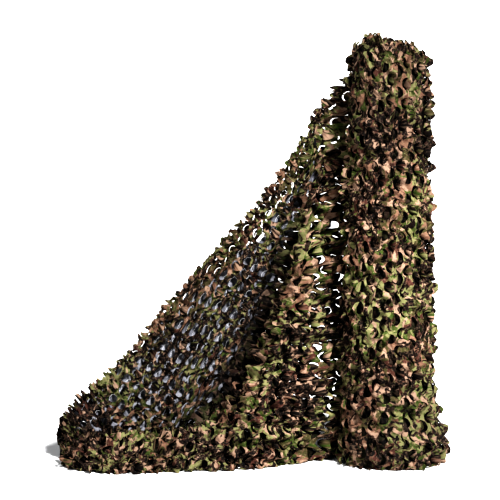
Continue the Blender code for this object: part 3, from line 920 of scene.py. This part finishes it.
# Where the layers of the loose end stop, in metres. The raggedness of a border has a height, a length and
# a seed.
borders = {
    "face": -0.008,                    # from the valley, up
    "faceRagged": (0.02, 0.12, 53),
    "folds": 0.010,
    "foldsRagged": (0.02, 0.12, 54),
    "under": 0.10,
    "underRagged": (0.03, 0.12, 55),
    "roll": 0.238,                     # beside the roll only the front layers hang, and light comes through
    "rollRagged": (0.012, 0.08, 56),
    "strip": (0.008, 0.085),           # from the selvedge, down
    "stripRagged": (0.020, 0.15, 52),
    "stripByRoll": (0.20, 0.24, 0.34),   # how much wider it is beside the roll, and where that ends
    "rear": 0.115,                     # from the selvedge, down
    "rearByRoll": (0.010, 0.20, 0.34),
    "rearByTip": (0.095, 0.46, 0.66),
    "rearRagged": (0.025, 0.16, 51),
    "rearDown": 0.03,                  # from the valley, up
    "gathered": 0.30,                  # from the toe, up
    "gatheredByRoll": (0.45, 0.25, 0.80),
}


def raggedness(run, up, height, length, seed):
    return height * waves(np.stack((run, up), axis=1), length, seed)


def nearer(run, more, start, end):
    # more beside the roll, and nothing past the end
    return more * (1 - smoothStep(run, start, end))


def clearOfRoll(run, up):
    return run > borders["roll"] + raggedness(run, up, *borders["rollRagged"])


def aboveValley(run, up, length):
    return up > valleyUp(run) + borders["face"] + raggedness(run, up, *borders["faceRagged"])


def belowValley(run, up, length):
    return up < valleyUp(run) + borders["folds"] + raggedness(run, up, *borders["foldsRagged"])


def roundValley(run, up, length):
    return up < valleyUp(run) + borders["under"] + raggedness(run, up, *borders["underRagged"])


def nearEdge(run, up, length):
    # The selvedge is drawn together, so that it lies double.
    least, most = borders["strip"]
    room = most + raggedness(run, up, *borders["stripRagged"]) + nearer(run, *borders["stripByRoll"])
    return (length - up > least) & (length - up < room)


def belowEdge(run, up, length):
    # The rear layer starts below a plain strip.
    wider, start, end = borders["rearByTip"]
    room = borders["rear"] - nearer(run, *borders["rearByRoll"]) - wider * smoothStep(run, start, end)
    room = room + raggedness(run, up, *borders["rearRagged"])
    return clearOfRoll(run, up) & (length - up > room) & (up > valleyUp(run) + borders["rearDown"])


def lowDown(run, up, length):
    return clearOfRoll(run, up) & (up < borders["gathered"] + nearer(run, *borders["gatheredByRoll"]))


# The selvedge's direction is taken over the length ahead.
edgeScraps = dict(rimTips, apart=0.029, scatter=0.35, margin=0.03, inset=0.002, ahead=0.02,
                  long=(0.006, 0.025), wide=(0.009, 0.018), lean=45)
# The layers of the loose end. depth is how far one lies behind the front.
faceLayer = {
    "cell": pulledCell, "seed": 21, "depth": 0.0, "shift": (0, 0), "width": 1.5,
    "curl": (105, 155), "turnedOut": 0.75, "corrugation": 0.004, "unevenness": 0.008, "creases": 0.0035,
}
foldsLayer = {
    "cell": wholeCell, "seed": 25, "depth": 0.0, "shift": (0.013, 0.017), "width": 1.5,
    "curl": (60, 125), "turnedOut": 0.5, "corrugation": 0.009, "unevenness": 0.008, "creases": 0.0025,
}
underLayer = {
    "cell": wholeCell, "seed": 26, "depth": 0.030, "shift": (0.030, 0.010), "width": 1.5,
    "curl": (30, 110), "turnedOut": 0.5, "corrugation": 0.010, "unevenness": 0.005, "creases": 0.003,
}
edgeLayer = {
    "cell": pulledCell, "seed": 24, "depth": 0.014, "shift": (0.021, 0.030), "width": 0.16,
    "curl": (10, 50), "turnedOut": 0.5, "corrugation": 0.010, "unevenness": 0.006, "creases": 0.003,
}
gatheredLayer = {
    "cell": wholeCell, "seed": 23, "depth": 0.052, "shift": (0.010, 0.020), "width": 1.5,
    "curl": (2, 16), "turnedOut": 0.5, "corrugation": 0.006, "unevenness": 0.006, "creases": 0.001,
}
rearLayer = dict(gatheredLayer, cell=shutCell, seed=22, depth=0.021, shift=(0.021, 0.030), curl=(1, 6))
looseNet("net_loose_face", faceLayer, faceCloth, aboveValley, edgeScraps)
looseNet("net_loose_folds", foldsLayer, looseCloth, belowValley)
# The layer under the valley wears a near-black copy of the print: painted shade.
looseNet("net_loose_under", underLayer, innerShadeCloth, roundValley)
looseNet("net_loose_edge", edgeLayer, looseCloth, nearEdge, edgeScraps)
# The rear layer wears the grey copy: painted shade for the background seen through the face's holes.
looseNet("net_loose_behind", rearLayer, backgroundShadeCloth, belowEdge)
looseNet("net_loose_gathered", gatheredLayer, backCloth, lowDown)

studio = {
    "view": math.radians(10),          # how far the camera looks down
    "distance": 12.0,
    "frameWidth": 1.745,               # what the frame takes in at that distance
    "aim": (-0.0187, 0.0115, 0.7495),
    "sensor": 36.0,
    "farthest": 100,
    "floorReach": 30.0,
    "floorShade": 0.62,
    "floorRoughness": 0.9,
    "airColour": (0.93, 0.96, 1, 1),
    "airStrength": 0.12,
}


def makeFloor():
    mesh = bpy.data.meshes.new("floor")
    reach, shade = studio["floorReach"], studio["floorShade"]
    corners = [(-reach, -reach, 0), (reach, -reach, 0), (reach, reach, 0), (-reach, reach, 0)]
    mesh.from_pydata(corners, [], [(0, 1, 2, 3)])
    nodes = Nodes("floor_paper")
    nodes.shader.inputs["Base Color"].default_value = (shade, shade, shade, 1)
    nodes.shader.inputs["Roughness"].default_value = studio["floorRoughness"]
    mesh.materials.append(nodes.material)
    floor = bpy.data.objects.new("floor", mesh)
    bpy.context.collection.objects.link(floor)


def makeSun(name, azimuth, elevation, strength, spread):
    # azimuth turns from the viewer's side to the right
    data = bpy.data.lights.new(name, "SUN")
    data.energy = strength
    data.angle = math.radians(spread)
    light = bpy.data.objects.new(name, data)
    turn, rise = math.radians(azimuth), math.radians(elevation)
    source = Vector((math.sin(turn) * math.cos(rise), -math.cos(turn) * math.cos(rise), math.sin(rise)))
    light.rotation_euler = (-source).to_track_quat("-Z", "Y").to_euler()
    bpy.context.collection.objects.link(light)


makeFloor()
makeSun("key", azimuth=27, elevation=41, strength=9.6, spread=9)
makeSun("fill", azimuth=-55, elevation=35, strength=1.5, spread=60)
world = bpy.data.worlds.new("studio")
bpy.context.scene.world = world
world.use_nodes = True
world.node_tree.nodes["Background"].inputs[0].default_value = studio["airColour"]
world.node_tree.nodes["Background"].inputs[1].default_value = studio["airStrength"]
bpy.context.scene.view_settings.view_transform = "Standard"
bpy.context.scene.view_settings.look = "Very High Contrast"

camera = bpy.data.objects.new("camera", bpy.data.cameras.new("camera"))
camera.data.sensor_width = studio["sensor"]
camera.data.lens = studio["sensor"] * studio["distance"] / studio["frameWidth"]
camera.data.clip_end = studio["farthest"]
look = Vector((0, math.cos(studio["view"]), -math.sin(studio["view"])))
camera.location = Vector(studio["aim"]) - look * studio["distance"]
camera.rotation_euler = look.to_track_quat("-Z", "Y").to_euler()
bpy.context.collection.objects.link(camera)
bpy.context.scene.camera = camera
print("studio ready")
